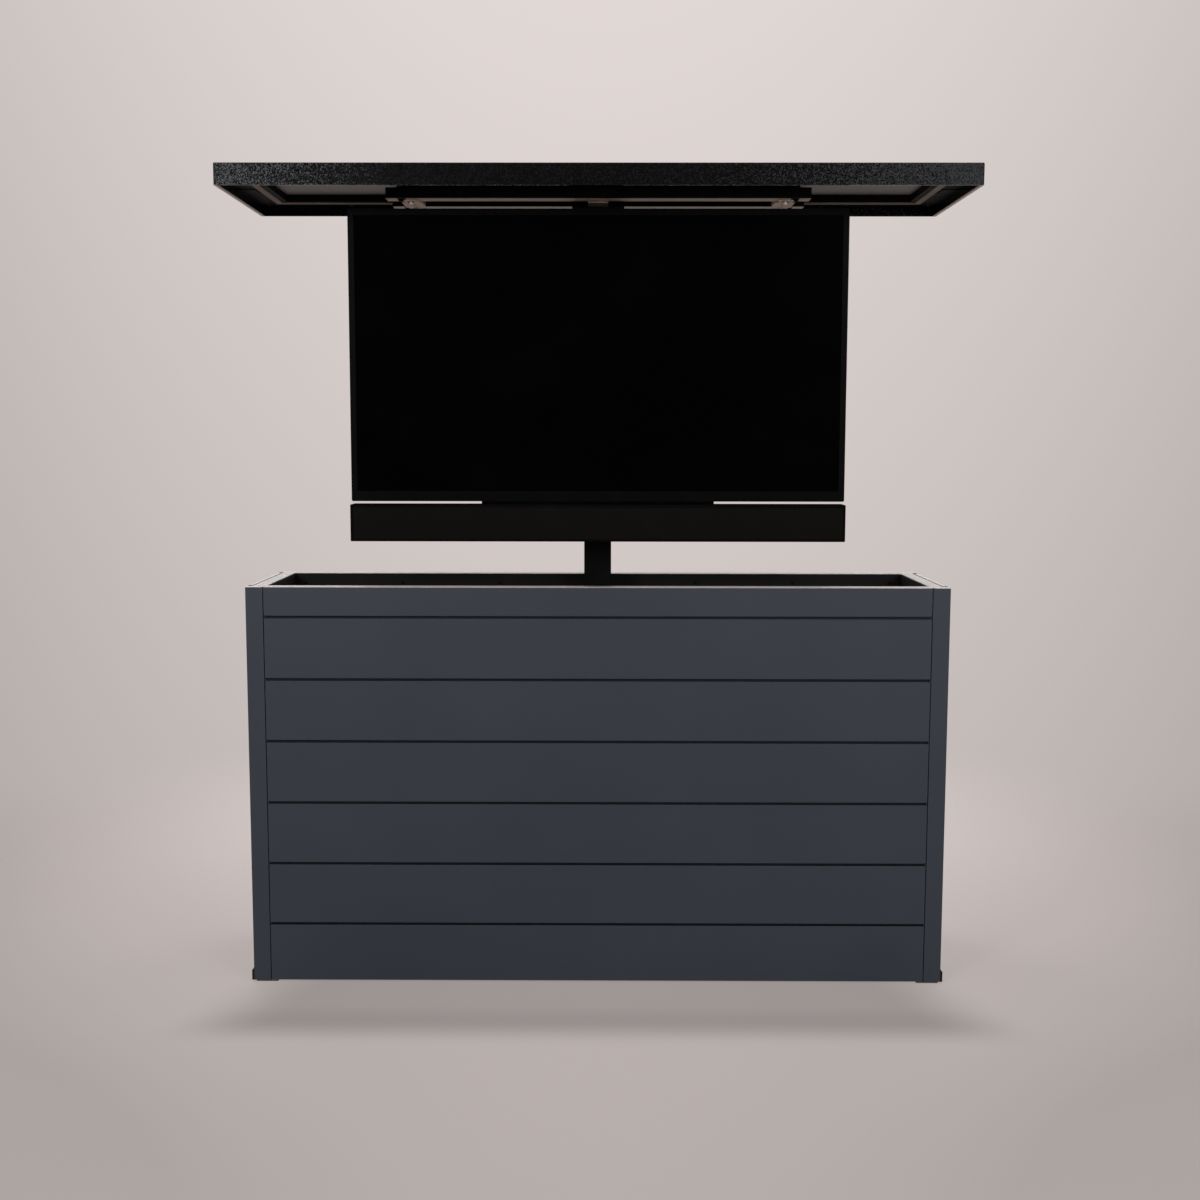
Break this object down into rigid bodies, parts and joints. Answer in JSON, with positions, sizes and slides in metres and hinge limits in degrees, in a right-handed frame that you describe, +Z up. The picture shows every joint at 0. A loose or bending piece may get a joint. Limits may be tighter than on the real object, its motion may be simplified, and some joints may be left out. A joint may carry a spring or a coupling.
{
  "type": "tv lift cabinet",
  "caption": "Clad cabinet whose telescopic column raises a television, a soundbar and the capping lid, and lowers them inside again.",
  "frame": {"origin": "on the floor below the middle of the lid, which is the middle of the cabinet", "axes": "+X to the viewer's right, +Y from the front to the back, +Z up; the lift is fully raised"},
  "size_m": [1.804, 0.536, 1.9955],
  "materials": {
    "cladding": "slate-blue capped board, fine matte grain",
    "frame": "satin mill finish",
    "liner": "black matt panel",
    "floor_board": "black stained board",
    "dark_trim": "black matt trim",
    "foot": "dark brown moulded rubber",
    "dark_screw": "blackened steel",
    "column_steel": "black satin powder coat",
    "zinc": "dull zinc plating",
    "strap_steel": "dull mottled zinc-coated sheet",
    "gasket_foam": "pale grey-brown foam strip",
    "guide_plastic": "natural acetal",
    "drive_housing": "grey cast housing",
    "belt_rubber": "black rubber",
    "tv_plastic": "black fine-grained moulding",
    "tv_glass": "black gloss screen",
    "soundbar_case": "black satin moulding",
    "soundbar_mesh": "black perforated grille",
    "lid_coating": "black speckled stone-textured coating",
    "lid_underside": "pale grey unpainted sheet"
  },
  "bodies": {
    "cabinet": {"frame_uprights": "frame", "frame_top_rails": "frame", "frame_bottom_rails": "frame", "frame_studs": "floor_board", "corner_post_front_left": "cladding", "corner_post_front_right": "cladding", "corner_post_rear_left": "cladding", "corner_post_rear_right": "cladding", "front_planks": "cladding", "rear_planks": "cladding", "left_planks": "cladding", "right_planks": "cladding", "liner_front": "liner", "liner_rear": "liner", "liner_ends": "liner", "floor_panel": "floor_board", "cable_grommet": "dark_trim", "feet": "foot", "base_trims": "dark_trim", "post_screws": "dark_screw", "column_base_plate": "column_steel", "column_bolts": "zinc", "outer_tube": "column_steel", "outer_guide_pads": "guide_plastic", "gear_motor": "drive_housing", "bevel_box": "drive_housing", "belt_anchor_post": "zinc", "control_box": "tv_plastic"},
    "spindle": {"lift_spindle": "zinc"},
    "middle_stage": {"middle_tube": "column_steel", "middle_guide_pads": "guide_plastic", "spindle_nut": "guide_plastic", "belt_mast": "zinc", "lift_belt": "belt_rubber"},
    "top_pulley": {"belt_pulley_top": "zinc"},
    "bottom_pulley": {"belt_pulley_bottom": "zinc"},
    "carriage": {"inner_tube": "column_steel", "inner_guide_pads": "guide_plastic", "belt_clamp": "zinc", "head_bracket": "column_steel", "lid_mast": "column_steel", "tv_mount_plate": "column_steel", "tv_mount_rails": "column_steel", "tv_mount_arms": "column_steel", "tv_back_cover": "tv_plastic", "tv_bezel": "tv_plastic", "tv_screen": "tv_glass", "soundbar_housing": "soundbar_case", "soundbar_grille": "soundbar_mesh", "soundbar_bracket": "column_steel", "lid_rail_front": "column_steel", "lid_rail_rear": "column_steel", "lid_rail_straps": "strap_steel", "lid_cross_brackets": "strap_steel", "lid_standoffs": "column_steel", "lid_shell": "lid_coating", "lid_underside_panel": "lid_underside", "lid_border": "dark_trim", "lid_gasket": "gasket_foam", "mount_bolts": "zinc"}
  },
  "joints": [
    {"name": "carriage_lift", "type": "slide", "parent": "middle_stage", "child": "carriage", "axis": [0, 0, 1], "range_m": [-0.486, 0]},
    {"name": "middle_lift", "type": "slide", "parent": "cabinet", "child": "middle_stage", "axis": [0, 0, 1], "range_m": [-0.486, 0]},
    {"name": "spindle_turn", "type": "hinge", "parent": "cabinet", "child": "spindle", "pos_m": [0, 0.066, 0.3], "axis": [0, 0, 1], "range_deg": [0, 8750]},
    {"name": "top_pulley_turn", "type": "hinge", "parent": "middle_stage", "child": "top_pulley", "pos_m": [0, 0.088, 1.18], "axis": [0, 1, 0], "range_deg": [0, 2325]},
    {"name": "bottom_pulley_turn", "type": "hinge", "parent": "middle_stage", "child": "bottom_pulley", "pos_m": [0, 0.088, 0.595], "axis": [0, 1, 0], "range_deg": [0, 2325]}
  ],
  "couplings": [
    {"joint": "middle_lift", "follows": "carriage_lift", "ratio": 1},
    {"joint": "spindle_turn", "follows": "carriage_lift", "rad_per_m": -314.16},
    {"joint": "top_pulley_turn", "follows": "carriage_lift", "rad_per_m": -83.333},
    {"joint": "bottom_pulley_turn", "follows": "carriage_lift", "rad_per_m": -83.333}
  ]
}
